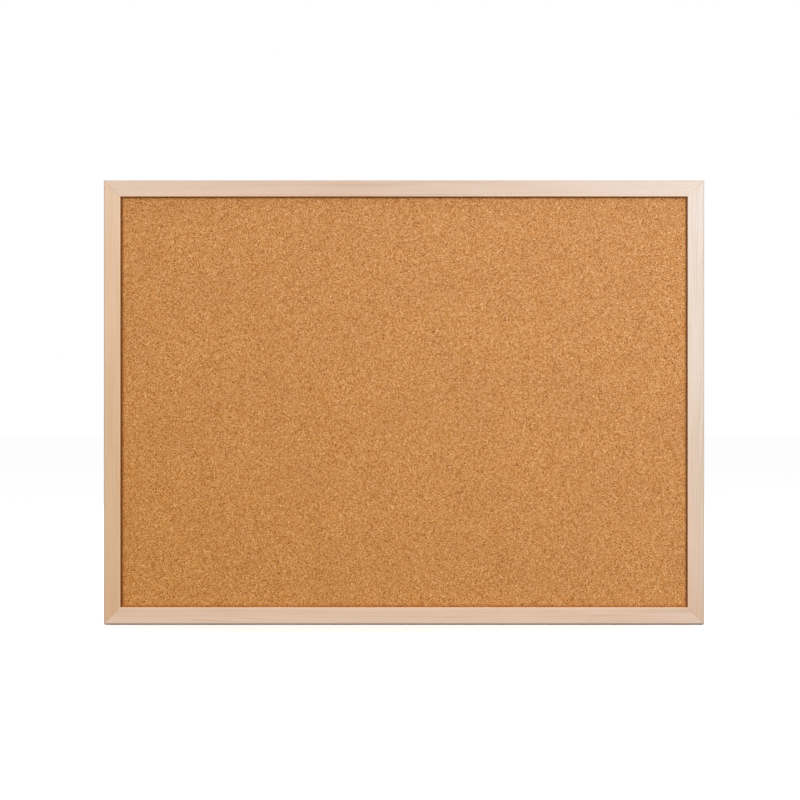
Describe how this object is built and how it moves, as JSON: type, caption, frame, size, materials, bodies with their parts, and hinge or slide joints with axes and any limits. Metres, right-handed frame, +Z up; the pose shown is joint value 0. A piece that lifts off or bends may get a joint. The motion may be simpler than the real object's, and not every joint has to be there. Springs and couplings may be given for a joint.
{
  "type": "cork bulletin board",
  "caption": "Framed cork pin board: mitred wooden moulding round a layered cork panel, with swinging D-ring hangers and rubber bumpers on the back.",
  "frame": {"origin": "centre of the wall plane, which the faces of the rubber bumpers stand against", "axes": "+X to the right seen from the front, +Y into the wall, +Z up; the cork faces -Y"},
  "size_m": [0.5842, 0.0192, 0.4318],
  "materials": {
    "top_rail_wood": "clear matt lacquer on pale straight-grained wood",
    "bottom_rail_wood": "clear matt lacquer on pale straight-grained wood",
    "left_stile_wood": "clear matt lacquer on pale, yellower straight-grained wood",
    "right_stile_wood": "clear matt lacquer on the palest straight-grained wood",
    "cork": "unsealed fine-grained pressed cork",
    "softboard": "raw wood-fibre softboard",
    "hardboard": "brown hardboard with a screen-textured back",
    "nail_steel": "plain strip steel",
    "point_steel": "zinc-plated strip steel",
    "strap_steel": "nickel-plated sheet steel",
    "ring_steel": "nickel-plated round wire",
    "screw_steel": "zinc-plated steel",
    "bumper_rubber": "soft translucent grey rubber"
  },
  "bodies": {
    "board": {"top_rail": "top_rail_wood", "bottom_rail": "bottom_rail_wood", "left_stile": "left_stile_wood", "right_stile": "right_stile_wood", "cork_sheet": "cork", "softboard_core": "softboard", "hardboard_back": "hardboard", "corner_v_nails": "nail_steel", "retaining_points": "point_steel", "left_hanger_strap": "strap_steel", "right_hanger_strap": "strap_steel", "hanger_screws": "screw_steel", "bumper_top_left": "bumper_rubber", "bumper_top_right": "bumper_rubber", "bumper_bottom_left": "bumper_rubber", "bumper_bottom_right": "bumper_rubber"},
    "left_ring": {"left_hanger_ring": "ring_steel"},
    "right_ring": {"right_hanger_ring": "ring_steel"}
  },
  "joints": [
    {"name": "left_ring_swing", "type": "hinge", "parent": "board", "child": "left_ring", "pos_m": [-0.28535, -0.0019, 0.1459], "axis": [1, 0, 0], "range_deg": [0, 177]},
    {"name": "right_ring_swing", "type": "hinge", "parent": "board", "child": "right_ring", "pos_m": [0.28535, -0.0019, 0.1459], "axis": [1, 0, 0], "range_deg": [0, 177]}
  ]
}
